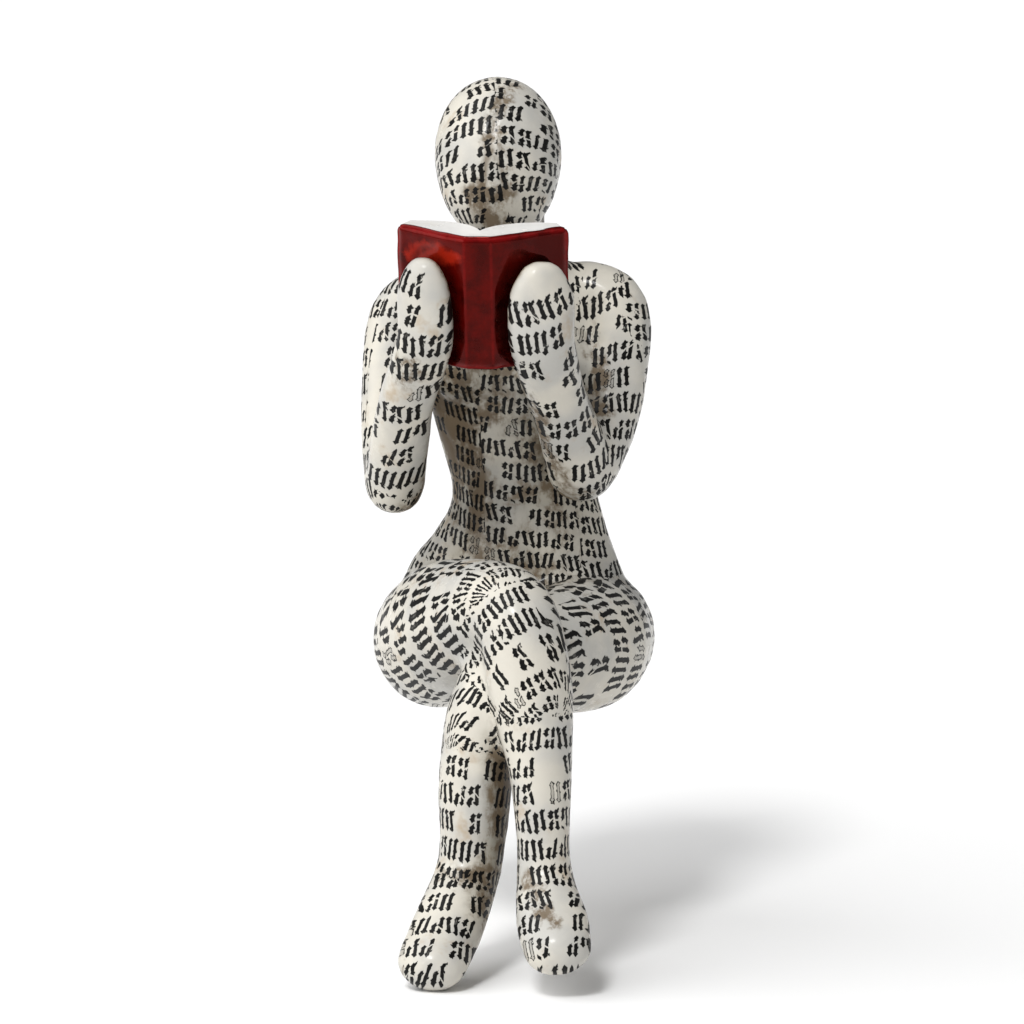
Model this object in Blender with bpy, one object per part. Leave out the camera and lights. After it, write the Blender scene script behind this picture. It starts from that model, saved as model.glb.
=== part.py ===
"""Reading woman: a seated figure of cast resin that sits on the edge of a shelf, with an open book in its hands.

Metres, +Z up. The figure faces -Y, and its left side is +X. The origin is on the flat underside that it sits on.
"""

import math

import bmesh
import bpy
from mathutils import Matrix, Vector

# Driving sizes of the figure
FIGURE_HEIGHT = 0.149
PALM_PRESS = 0.0007

# Driving sizes of the book
BOOK_HEIGHT = 0.0238
COVER_WIDTH = 0.0142
SPINE_WIDTH = 0.0046
BOARD_THICKNESS = 0.0010
BOARD_OVERHANG = 0.0002
PAGES_THICKNESS = 0.0052
FORE_EDGE_THICKNESS = 0.0019
GUTTER_DEPTH = 0.0029
BOARD_ROUNDING = 0.0003
BOOK_WING_ANGLE = math.radians(27.5)
BOOK_LEAN = math.radians(14)
BOOK_ROLL = math.radians(0.5)
HOLD_GAP = 0.0003

# How finely the solids are made
SKIN_VOXEL = 0.0008
SKIN_SMOOTHING = 7
SKIN_KEPT_FACES = 0.082
RING_SIDES = 20
RING_STEPS = 4
CAP_RINGS = 4
PAGE_CURVE_STEPS = 8

# The pose is worked out for a figure 149 mm high, so M is one of its millimetres.
M = FIGURE_HEIGHT / 149

# Each limb runs through stations: centre X, Y, Z, half width and half depth.
TORSO = (
    (0.4, 2.6, 12.4, 21.0, 13.3),
    (0.6, 2.5, 19.9, 20.6, 13.0),
    (1.3, 2.6, 26.8, 16.8, 11.4),
    (1.6, 2.5, 32.8, 13.9, 10.0),
    (1.4, 2.6, 38.2, 12.7, 9.2),
    (1.0, 2.3, 44.7, 13.8, 9.3),
    (0.3, 1.8, 52.7, 15.2, 9.8),
    (-0.5, 1.6, 60.7, 16.2, 9.9),
    (-1.0, 2.3, 68.7, 16.5, 8.9),
    (-1.2, 3.1, 74.7, 14.4, 7.3),
    (-1.2, 3.8, 78.7, 9.6, 6.0),
    (-0.6, 3.9, 82.7, 5.8, 5.3),
    (-0.4, 3.1, 87.7, 5.3, 5.3),
    (-1.2, 1.8, 91.7, 5.3, 5.3),
)
RIGHT_LEG = (
    (-12.2, 5.0, 11.0, 12.2, 12.2),
    (-12.0, -8.0, 11.9, 11.9, 12.3),
    (-8.2, -19.6, 16.5, 10.9, 11.4),
    (-1.5, -31.3, 20.5, 9.0, 9.2),
    (3.2, -38.0, 22.4, 7.6, 7.6),
    (6.2, -42.1, 19.7, 7.0, 7.2),
    (7.7, -43.8, 13.1, 7.2, 6.9),
    (9.0, -45.1, 5.5, 6.6, 6.5),
    (10.1, -46.1, -3.5, 5.3, 5.8),
    (10.7, -47.1, -14.5, 4.5, 4.8),
    (10.9, -47.7, -20.0, 4.6, 4.9),
)
LEFT_LEG = (
    (12.5, 5.0, 11.0, 12.2, 12.2),
    (12.5, -8.0, 11.4, 12.0, 12.0),
    (10.0, -18.4, 12.1, 10.6, 10.8),
    (6.3, -28.2, 12.6, 8.8, 9.0),
    (3.5, -34.1, 11.9, 7.4, 7.6),
    (1.4, -37.1, 8.5, 6.6, 7.0),
    (-0.6, -38.3, 3.5, 6.4, 6.6),
    (-1.7, -39.1, -4.1, 6.2, 6.3),
    (-1.9, -39.5, -10.9, 6.2, 5.9),
    (-2.2, -39.9, -17.5, 5.6, 5.2),
    (-2.6, -40.3, -21.5, 5.6, 5.2),
)
RIGHT_FOOT = (
    (10.9, -46.5, -21.5, 4.7, 5.2),
    (11.7, -50.1, -24.5, 5.3, 5.4),
    (13.2, -54.7, -28.1, 6.2, 4.9),
    (14.6, -59.1, -31.4, 5.8, 4.1),
)
LEFT_FOOT = (
    (-2.8, -38.9, -22.1, 5.4, 5.4),
    (-3.8, -43.5, -25.9, 5.7, 5.6),
    (-5.4, -49.5, -30.7, 6.2, 5.0),
    (-7.1, -56.2, -35.2, 6.0, 4.3),
)
RIGHT_ARM = (
    (-15.8, 3.4, 71.7, 5.2, 5.2),
    (-20.2, 2.4, 67.3, 5.9, 5.9),
    (-21.1, -2.2, 56.7, 5.6, 5.6),
    (-20.7, -7.2, 46.9, 5.3, 5.5),
    (-19.6, -11.2, 39.9, 5.2, 5.6),
)
RIGHT_FOREARM = (
    (-19.4, -11.6, 39.7, 5.2, 5.6),
    (-17.9, -16.6, 47.7, 5.1, 5.2),
    (-15.5, -22.8, 56.7, 4.8, 4.9),
)
LEFT_ARM = (
    (12.8, 3.4, 72.3, 5.6, 5.6),
    (17.4, 2.4, 69.3, 6.2, 6.1),
    (18.1, -1.8, 59.7, 5.8, 5.8),
    (17.0, -6.6, 50.7, 5.5, 5.5),
    (14.6, -10.8, 44.1, 5.5, 5.6),
)
LEFT_FOREARM = (
    (13.2, -12.2, 42.9, 6.0, 5.8),
    (11.7, -16.8, 49.7, 5.4, 5.3),
    (10.0, -22.6, 57.3, 5.0, 5.0),
)

# The hands are mittens laid on the outside of the covers: the palm's place from the spine's edge, its place
# above the book's middle, then half width, half thickness and reach.
RIGHT_HAND = (6.3, -0.8, 5.2, 3.6, 8.6)
LEFT_HAND = (7.7, -1.2, 6.0, 3.8, 8.2)
BOOK_MIDDLE = (-2.0, -32.8, 73.3)
HAND_STATIONS = ((-0.75, 0.95, 1.18), (-0.1, 1.0, 1.02), (0.45, 0.93, 0.92), (0.75, 0.7, 0.74))

# The head is an egg between crown and chin.
CROWN = (-3.4, 5.2, 108.7)
CHIN = (-1.6, -10.2, 81.7)
HEAD_HALF_WIDTH = 11.1
HEAD_HALF_DEPTH = 11.6
EGG_TAPER = 0.10
EGG_STEPS = 14

# Round masses: centre X, Y, Z, then half sizes along X, Y and Z
MASSES = (
    (-10.4, 7.0, 10.6, 12.2, 11.2, 11.6),
    (11.0, 7.0, 10.6, 12.2, 11.2, 11.6),
    (-7.6, -5.0, 59.9, 7.0, 5.6, 6.8),
    (7.4, -5.0, 59.9, 7.0, 5.6, 6.8),
    (-8.2, 7.0, 63.7, 6.4, 4.6, 9.0),
    (7.0, 7.0, 63.7, 6.4, 4.6, 9.0),
    (-3.8, 6.2, 43.7, 4.6, 5.2, 15.0),
    (6.0, 6.2, 43.7, 4.6, 5.2, 15.0),
    (1.0, -1.6, 30.7, 10.6, 6.0, 15.0),
)

IVORY = (0.80, 0.77, 0.70)
DEEP_RED = (0.22, 0.008, 0.006)


def clear_scene():
    for item in list(bpy.data.objects):
        bpy.data.objects.remove(item)


def finish_material(name, colour, roughness):
    material = bpy.data.materials.new(name)
    material.use_nodes = True
    shader = material.node_tree.nodes["Principled BSDF"]
    shader.inputs["Base Color"].default_value = (*colour, 1.0)
    shader.inputs["Roughness"].default_value = roughness
    shader.inputs["Metallic"].default_value = 0.0
    return material


def between(stations, span, share):
    """A Catmull-Rom value of every number of the stations, on one span at one share of it."""
    last = len(stations) - 1
    before = stations[max(span - 1, 0)]
    start = stations[span]
    end = stations[span + 1]
    after = stations[min(span + 2, last)]
    return tuple(
        0.5
        * (
            2 * q
            + (r - p) * share
            + (2 * p - 5 * q + 4 * r - s) * share**2
            + (3 * q - p - 3 * r + s) * share**3
        )
        for p, q, r, s in zip(before, start, end, after)
    )


def smooth_line(stations):
    """The stations with RING_STEPS rings on each span."""
    line = [
        between(stations, span, step / RING_STEPS)
        for span in range(len(stations) - 1)
        for step in range(RING_STEPS)
    ]
    return line + [stations[-1]]


def add_ring(mesh, centre, across, through):
    """One elliptical ring with the half axes across and through."""
    turns = [2 * math.pi * side / RING_SIDES for side in range(RING_SIDES)]
    return [
        mesh.verts.new(centre + across * math.cos(turn) + through * math.sin(turn))
        for turn in turns
    ]


def bridge(mesh, first, second):
    for side in range(RING_SIDES):
        following = (side + 1) % RING_SIDES
        mesh.faces.new((first[side], first[following], second[following], second[side]))


def close_ring(mesh, ring, tip, outwards):
    point = mesh.verts.new(tip)
    for side in range(RING_SIDES):
        following = (side + 1) % RING_SIDES
        corners = (ring[side], ring[following], point)
        mesh.faces.new(corners if outwards else corners[::-1])


def add_limb(mesh, stations, turn=0.0):
    """A tube of elliptical rings through the stations, with a round cap on each end.

    The rings turn about the tube by the angle turn, little by little towards its end.
    """
    line = smooth_line(stations)
    centres = [Vector(row[:3]) * M for row in line]
    rings = []
    last = len(line) - 1
    for place, row in enumerate(line):
        along = (centres[min(place + 1, last)] - centres[max(place - 1, 0)]).normalized()
        across = (Vector((1, 0, 0)) - along * along.x).normalized()
        across.rotate(Matrix.Rotation(turn * place / last, 3, along))
        through = along.cross(across)
        half_width, half_depth = row[3] * M, row[4] * M
        if place == 0:
            rings += cap_rings(centres[0], -along, across * half_width, through * half_depth)[::-1]
        rings.append((centres[place], across * half_width, through * half_depth))
        if place == last:
            rings += cap_rings(centres[last], along, across * half_width, through * half_depth)
    made = [add_ring(mesh, *ring) for ring in rings]
    for first, second in zip(made, made[1:]):
        bridge(mesh, first, second)
    close_ring(mesh, made[0], rings[0][0], False)
    close_ring(mesh, made[-1], rings[-1][0], True)


def cap_rings(centre, outwards, across, through):
    """The shrinking rings of a half ellipsoid on a limb's end, out towards its tip."""
    reach = min(across.length, through.length)
    rings = []
    for step in range(1, CAP_RINGS + 1):
        turn = math.pi / 2 * step / (CAP_RINGS + 0.25)
        rings.append(
            (
                centre + outwards * reach * math.sin(turn),
                across * math.cos(turn),
                through * math.cos(turn),
            )
        )
    return rings


def add_mass(mesh, centre, half_sizes, turn=Matrix.Identity(3)):
    """An ellipsoid, turned about its centre."""
    place = Matrix.Translation(Vector(centre) * M) @ turn.to_4x4()
    stretch = Matrix.Diagonal((*(size * M for size in half_sizes), 1.0))
    bmesh.ops.create_icosphere(mesh, subdivisions=3, radius=1.0, matrix=place @ stretch)


def add_head(mesh):
    """The egg of the head: widest above its middle, and narrowing to the chin."""
    crown, chin = Vector(CROWN), Vector(CHIN)
    along = (chin - crown).normalized()
    across = (Vector((1, 0, 0)) - along * along.x).normalized()
    through = along.cross(across)
    rings = []
    for step in range(1, EGG_STEPS):
        turn = math.pi * step / EGG_STEPS
        share = (1 - math.cos(turn)) / 2
        swell = math.sin(turn) * (1 + EGG_TAPER * math.cos(turn))
        centre = crown.lerp(chin, share) * M
        half_width = HEAD_HALF_WIDTH * M * swell
        half_depth = HEAD_HALF_DEPTH * M * swell
        rings.append(add_ring(mesh, centre, across * half_width, through * half_depth))
    for first, second in zip(rings, rings[1:]):
        bridge(mesh, first, second)
    close_ring(mesh, rings[0], crown * M, False)
    close_ring(mesh, rings[-1], chin * M, True)


def book_axes():
    """The book's sideways, upward and readerward directions."""
    sideways = Vector((math.cos(BOOK_ROLL), 0, -math.sin(BOOK_ROLL)))
    readerward = Vector((0, math.cos(BOOK_LEAN), math.sin(BOOK_LEAN)))
    upward = sideways.cross(readerward).normalized()
    return sideways, upward, upward.cross(sideways)


def on_book(side, height, depth):
    """A point by its distances from the middle of the spine's outer face."""
    sideways, upward, readerward = book_axes()
    return Vector(BOOK_MIDDLE) * M + sideways * side + upward * height + readerward * depth


def wing(side, along, inwards):
    """A point of one cover, by its distance from the spine's edge and from the cover's outer face."""
    x = SPINE_WIDTH / 2 + along * math.cos(BOOK_WING_ANGLE) - inwards * math.sin(BOOK_WING_ANGLE)
    depth = along * math.sin(BOOK_WING_ANGLE) + inwards * math.cos(BOOK_WING_ANGLE)
    return side * x, depth


def covers_outline(grow=0.0):
    """The covers and spine seen from above, as a bent strip. The strip can be grown on all sides."""
    outer = [wing(-1, COVER_WIDTH + grow, -grow), wing(-1, 0, -grow)]
    outer += [(-x, depth) for x, depth in reversed(outer)]
    thickness = BOARD_THICKNESS + grow
    inner = [wing(1, COVER_WIDTH + grow, thickness), wing(1, 0, thickness)]
    inner += [(-x, depth) for x, depth in reversed(inner)]
    return outer + inner


def pages_outline(grow=0.0):
    """The block of pages seen from above: each half swells from the gutter out to the fore edge."""
    reach = COVER_WIDTH - BOARD_OVERHANG + grow
    buried = BOARD_THICKNESS / 2
    fore_edge = wing(1, reach, BOARD_THICKNESS + FORE_EDGE_THICKNESS + grow)
    gutter = (0.0, BOARD_THICKNESS + GUTTER_DEPTH + grow)
    swell = wing(1, COVER_WIDTH * 0.35, BOARD_THICKNESS + PAGES_THICKNESS * 1.35 + grow)
    half = []
    for step in range(PAGE_CURVE_STEPS + 1):
        share = step / PAGE_CURVE_STEPS
        half.append(
            tuple(
                a * (1 - share) ** 2 + 2 * b * share * (1 - share) + c * share**2
                for a, b, c in zip(gutter, swell, fore_edge)
            )
        )
    foot = [wing(1, reach, buried), wing(1, 0, buried)]
    right = half + foot
    return right + [(-x, depth) for x, depth in reversed(right[1:])]


def extrude_outline(name, outline, low, high):
    """A prism on the book's own axes, from an outline seen from above."""
    mesh = bmesh.new()
    bottom = [mesh.verts.new(on_book(x, low, depth)) for x, depth in outline]
    top = [mesh.verts.new(on_book(x, high, depth)) for x, depth in outline]
    count = len(outline)
    for place in range(count):
        following = (place + 1) % count
        mesh.faces.new((bottom[place], bottom[following], top[following], top[place]))
    mesh.faces.new(bottom[::-1])
    mesh.faces.new(top)
    bmesh.ops.recalc_face_normals(mesh, faces=mesh.faces)
    return object_of(name, mesh)


def object_of(name, mesh):
    data = bpy.data.meshes.new(name)
    mesh.to_mesh(data)
    mesh.free()
    made = bpy.data.objects.new(name, data)
    bpy.context.scene.collection.objects.link(made)
    return made


def as_cutter(made):
    made.hide_render = True
    made.display_type = "WIRE"
    return made


def cut(made, cutter, operation="DIFFERENCE"):
    modifier = made.modifiers.new(cutter.name, "BOOLEAN")
    modifier.operation = operation
    modifier.solver = "EXACT"
    modifier.object = cutter


def hand_stations(side, hand):
    """The stations of a flat mitten on one cover, pressed in by PALM_PRESS and trimmed to the book later."""
    place, height, half_width, half_thickness, reach = hand
    out = half_thickness * M - PALM_PRESS
    stations = []
    for share, wide, thick in HAND_STATIONS:
        x, depth = wing(side, place * M, -out)
        centre = on_book(x, (height + share * reach) * M, depth) / M
        stations.append((*centre, half_width * wide, half_thickness * thick))
    return tuple(stations)


def make_book_cutter():
    """The book's outline with HOLD_GAP round it, which trims the palms."""
    half = BOOK_HEIGHT / 2
    cutter = extrude_outline("book_gap_covers", covers_outline(HOLD_GAP), -half - HOLD_GAP, half + HOLD_GAP)
    half_pages = half - BOARD_OVERHANG + HOLD_GAP
    pages = extrude_outline("book_gap_pages", pages_outline(HOLD_GAP), -half_pages, half_pages)
    cut(cutter, as_cutter(pages), "UNION")
    return as_cutter(cutter)


def make_seat_cutter():
    """A block that flattens what the figure sits on, from behind it to the middle of the thighs."""
    mesh = bmesh.new()
    size = FIGURE_HEIGHT / 2
    thigh_middle = LEFT_LEG[2][1] * M
    place = Matrix.Translation((0, size / 2 + thigh_middle, -size / 2))
    bmesh.ops.create_cube(mesh, size=size, matrix=place)
    return as_cutter(object_of("seat_plane", mesh))


def make_figure():
    """The whole casting: limbs, masses and head joined under one skin, then cut flat to sit."""
    mesh = bmesh.new()
    for limb in (TORSO, RIGHT_LEG, LEFT_LEG, RIGHT_FOOT, LEFT_FOOT, RIGHT_ARM, LEFT_ARM):
        add_limb(mesh, limb)
    add_limb(mesh, RIGHT_FOREARM + hand_stations(-1, RIGHT_HAND), -BOOK_WING_ANGLE)
    add_limb(mesh, LEFT_FOREARM + hand_stations(1, LEFT_HAND), BOOK_WING_ANGLE)
    for row in MASSES:
        add_mass(mesh, row[:3], row[3:])
    add_head(mesh)
    bmesh.ops.recalc_face_normals(mesh, faces=mesh.faces)
    figure = object_of("figure", mesh)
    skin = figure.modifiers.new("skin", "REMESH")
    skin.mode = "VOXEL"
    skin.voxel_size = SKIN_VOXEL
    smooth = figure.modifiers.new("smooth", "SMOOTH")
    smooth.factor = 0.5
    smooth.iterations = SKIN_SMOOTHING
    fewer = figure.modifiers.new("fewer_faces", "DECIMATE")
    fewer.ratio = SKIN_KEPT_FACES
    cut(figure, make_seat_cutter())
    cut(figure, make_book_cutter())
    figure.data.materials.append(finish_material("printed_resin", IVORY, 0.42))
    return figure


def make_book():
    half = BOOK_HEIGHT / 2
    book = extrude_outline("book", covers_outline(), -half, half)
    rounding = book.modifiers.new("rounding", "BEVEL")
    rounding.width = BOARD_ROUNDING
    rounding.segments = 2
    half_pages = half - BOARD_OVERHANG
    pages = as_cutter(extrude_outline("pages", pages_outline(), -half_pages, half_pages))
    cut(book, pages, "UNION")
    book.data.materials.append(finish_material("red_enamel", DEEP_RED, 0.12))
    return book


clear_scene()
make_figure()
make_book()
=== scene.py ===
"""Reading woman: a seated cast resin figure with an open book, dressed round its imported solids."""

import math
from functools import partial

import bmesh
import bpy
import numpy as np
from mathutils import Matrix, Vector
from mathutils.bvhtree import BVHTree


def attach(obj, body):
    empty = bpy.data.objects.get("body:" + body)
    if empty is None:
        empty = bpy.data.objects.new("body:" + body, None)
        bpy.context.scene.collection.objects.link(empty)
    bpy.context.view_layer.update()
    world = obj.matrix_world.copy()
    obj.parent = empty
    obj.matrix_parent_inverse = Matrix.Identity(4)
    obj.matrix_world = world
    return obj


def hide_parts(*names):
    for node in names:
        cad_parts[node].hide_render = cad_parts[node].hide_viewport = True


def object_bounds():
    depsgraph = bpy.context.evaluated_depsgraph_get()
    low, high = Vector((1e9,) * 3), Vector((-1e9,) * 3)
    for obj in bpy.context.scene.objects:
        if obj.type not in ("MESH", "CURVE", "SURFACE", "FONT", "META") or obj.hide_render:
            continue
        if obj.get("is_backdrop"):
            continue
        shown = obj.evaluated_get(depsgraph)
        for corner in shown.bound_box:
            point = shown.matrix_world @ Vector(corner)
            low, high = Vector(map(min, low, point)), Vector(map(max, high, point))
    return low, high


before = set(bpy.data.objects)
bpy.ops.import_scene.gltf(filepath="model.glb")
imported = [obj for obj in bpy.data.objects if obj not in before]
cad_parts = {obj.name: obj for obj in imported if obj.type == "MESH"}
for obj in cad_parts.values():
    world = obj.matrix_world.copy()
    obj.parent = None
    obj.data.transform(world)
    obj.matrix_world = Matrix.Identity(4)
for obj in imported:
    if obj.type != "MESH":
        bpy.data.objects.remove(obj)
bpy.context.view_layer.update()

bl_info = {
    "name": "Reading woman",
    "version": (1, 0, 0),
    "blender": (4, 5, 0),
    "location": "View3D > Sidebar > Reading woman",
    "description": "Builds a seated resin figure that reads an open red book",
    "category": "Add Mesh",
}

MM = 0.001

# Where the printed rows run: each limb's guide line from its lower to its upper end, the limb's radius, the
# gap between rows and the width of one mark, all in mm, then how many marks the strips of paper are shifted and
# how steeply the rows rise to the figure's left.
PRINT_GUIDES = {
    "head": ((-1.6, -10.2, 81.7), (-3.4, 5.2, 108.7), 11.3, 4.35, 3.1, 3.4, 0.0),
    "torso": ((0.9, 2.5, 14.0), (-1.0, 3.5, 88.0), 15.0, 3.8, 2.6, 0.6, 0.15),
    "right_arm": ((-19.6, -11.2, 39.9), (-15.8, 3.4, 71.7), 5.6, 4.7, 2.7, 0.0, 0.0),
    "right_forearm": ((-19.4, -11.6, 39.7), (-9.6, -34.0, 80.0), 5.1, 4.9, 2.9, 0.3, -0.08),
    "left_arm": ((14.6, -10.8, 44.1), (12.8, 3.4, 72.3), 5.8, 4.7, 2.7, 0.4, -0.1),
    "left_forearm": ((13.2, -12.2, 42.9), (7.2, -35.0, 80.0), 5.4, 4.9, 2.9, 0.0, 0.1),
    "right_thigh": ((-2.0, -30.5, 20.2), (-13.0, 4.0, 10.0), 10.6, 7.0, 3.5, 0.8, 0.0),
    "left_thigh": ((5.5, -30.0, 12.6), (12.5, 5.0, 11.0), 10.8, 7.0, 3.4, 0.2, 0.0),
    "right_knee": ((8.4, -44.0, 11.0), (-1.5, -31.5, 22.6), 7.8, 4.5, 2.6, 0.0, 0.0),
    "left_knee": ((-0.5, -38.2, 4.0), (5.5, -30.5, 12.8), 7.4, 4.5, 2.5, 0.4, -0.1),
    "right_shin": ((10.9, -47.7, -20.0), (8.4, -44.2, 11.0), 6.0, 4.65, 2.4, 0.0, 0.06),
    "left_shin": ((-2.6, -40.3, -21.5), (-0.4, -38.0, 4.0), 6.0, 4.65, 2.4, 0.5, -0.1),
    "right_foot": ((13.5, -56.0, -37.0), (10.9, -46.0, -19.0), 5.8, 4.4, 2.5, 0.0, 0.1),
    "left_foot": ((-6.5, -50.0, -42.0), (-2.8, -38.5, -20.0), 5.8, 4.4, 2.5, 0.6, -0.1),
}
# Rows of marks set aside for each limb on the print map, and marks across one strip of paper
ROWS_PER_LIMB = 60
STRIP_WIDTH = 6.8
# The side that the rows start from, with their seam on the other side
FORWARD = np.array((0.12, -1.0, 0.1))
# Up to the first of these turns from the front, the marks keep their width on the skin. Beyond it they follow
# the radius that the limb has past the second turn.
FRONT_TURN = 0.7
BACK_TURN = 1.6
# How far the print goes over a limb's rounded end, as a share of its radius, and where it ends at a fingertip
OVER_END = 1.22
FINGERTIP_END = -0.6 * MM
# Shares of the marks that are left out, and that are only an outline
LEFT_OUT = 0.15
OUTLINED = 0.03

# Creases that the brown wash has settled in, as lines of points on the skin in mm
CREASES = (
    ((0.1, -3.4, 108.9), (-1.6, -9.9, 104.7), (-2.3, -12.6, 100.6), (-3.0, -13.9, 96.4), (-3.4, -14.4, 91.3),
     (-3.0, -13.8, 87.1)),
    ((-2.2, -13.5, 98.1), (-0.4, -14.1, 94.3), (0.3, -14.2, 90.9), (-1.2, -14.1, 88.2)),
    ((-5.6, -13.8, 90.2), (-3.8, -14.1, 88.8), (-2.2, -13.6, 86.0)),
    ((-8.5, -5.5, 48.9), (-6.5, -5.6, 45.1), (-5.7, -5.1, 38.3), (-6.0, -6.1, 31.9)),
    ((-12.7, -2.0, 49.0), (-10.6, -3.2, 45.4), (-9.6, -2.8, 41.2), (-10.0, -1.2, 37.0)),
    ((-12.7, -3.2, 52.1), (-9.8, -5.1, 50.5), (-6.1, -6.6, 49.6), (-2.1, -7.6, 51.4)),
    ((-7.9, -9.9, 57.2), (-5.0, -8.2, 54.9), (-1.8, -7.9, 53.9)),
    ((6.3, -27.6, 57.3), (7.0, -25.0, 54.3), (7.9, -21.1, 49.0), (9.5, -17.8, 43.1)),
    ((10.2, -18.1, 42.8), (12.3, -16.9, 39.9), (15.2, -16.1, 39.5)),
    ((14.4, -5.9, 62.6), (16.0, -7.9, 59.4), (15.7, -9.9, 55.4), (17.1, -11.6, 52.8)),
    ((-16.2, -30.8, 62.1), (-14.4, -32.8, 63.6), (-12.8, -32.9, 62.2), (-13.9, -31.1, 60.0),
     (-15.7, -30.5, 60.2)),
    ((-5.9, -46.4, -21.7), (-3.1, -47.9, -22.5), (-0.2, -45.7, -22.1)),
    ((9.2, -53.0, -20.9), (11.3, -57.2, -24.1), (13.6, -59.4, -26.1)),
    ((2.2, -42.5, 10.0), (2.5, -42.7, 0.0), (2.6, -43.2, -8.0), (2.6, -43.6, -14.5)),
)

# The middle of the spine's outer face
BOOK_MIDDLE = Vector((-2.0 * MM, -32.8 * MM, 73.3 * MM))
# What the camera looks at
SCENE_MIDDLE = Vector((2.1, -20.0, 36.3)) * MM


class FigureSettings(bpy.types.PropertyGroup):
    """Sizes and colours of the printed resin figure"""

    skin_grid: bpy.props.FloatProperty(
        name="Skin grid", description="Edge of one small face of the figure's skin",
        default=0.6 * MM, min=0.4 * MM, max=2 * MM, subtype="DISTANCE", unit="LENGTH")
    skin_smoothing: bpy.props.IntProperty(
        name="Skin smoothing", description="Passes that smooth the skin before it gets its folds",
        default=18, min=0, max=60)
    skin_regrow: bpy.props.FloatProperty(
        name="Skin regrow", description="How far the skin is let out again after smoothing",
        default=0.1 * MM, min=0.0, max=0.5 * MM, subtype="DISTANCE", unit="LENGTH")
    fold_size: bpy.props.FloatProperty(
        name="Fold size", description="Distance between the paper's soft folds",
        default=7 * MM, min=1 * MM, max=40 * MM, subtype="DISTANCE", unit="LENGTH")
    fold_depth: bpy.props.FloatProperty(
        name="Fold depth", description="Depth of the paper's soft folds",
        default=0.42 * MM, min=0.0, max=2 * MM, subtype="DISTANCE", unit="LENGTH")
    dimple_size: bpy.props.FloatProperty(
        name="Dimple size", description="Distance between the small dimples of the casting",
        default=2.4 * MM, min=0.5 * MM, max=10 * MM, subtype="DISTANCE", unit="LENGTH")
    dimple_depth: bpy.props.FloatProperty(
        name="Dimple depth", description="Depth of the small dimples of the casting",
        default=0.12 * MM, min=0.0, max=1 * MM, subtype="DISTANCE", unit="LENGTH")
    crease_width: bpy.props.FloatProperty(
        name="Crease width", description="Half the width of a crease between two strips of paper",
        default=0.5 * MM, min=0.1 * MM, max=3 * MM, subtype="DISTANCE", unit="LENGTH")
    crease_depth: bpy.props.FloatProperty(
        name="Crease depth", description="Depth of a crease between two strips of paper",
        default=0.2 * MM, min=0.0, max=1 * MM, subtype="DISTANCE", unit="LENGTH")
    smudge_width: bpy.props.FloatProperty(
        name="Smudge width", description="Half the width of the brown smudges along the creases",
        default=2.3 * MM, min=0.1 * MM, max=10 * MM, subtype="DISTANCE", unit="LENGTH")
    seed: bpy.props.IntProperty(
        name="Seed", description="Picks another lie of the folds", default=4, min=0)
    paper_colour: bpy.props.FloatVectorProperty(
        name="Paper colour", description="Ivory of the paper print", default=(0.58, 0.56, 0.515),
        size=3, min=0, max=1, subtype="COLOR")
    ink_colour: bpy.props.FloatVectorProperty(
        name="Ink colour", description="Black of the printed strokes", default=(0.002, 0.0018, 0.0015),
        size=3, min=0, max=1, subtype="COLOR")
    # This brown is also painted as shade into the skin's hollows
    wash_and_shade_colour: bpy.props.FloatVectorProperty(
        name="Wash colour", description="Brown wash in the hollows", default=(0.15, 0.11, 0.068),
        size=3, min=0, max=1, subtype="COLOR")
    stain_colour: bpy.props.FloatVectorProperty(
        name="Stain colour", description="Yellow stains of the aged paper", default=(0.42, 0.31, 0.19),
        size=3, min=0, max=1, subtype="COLOR")


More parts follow.
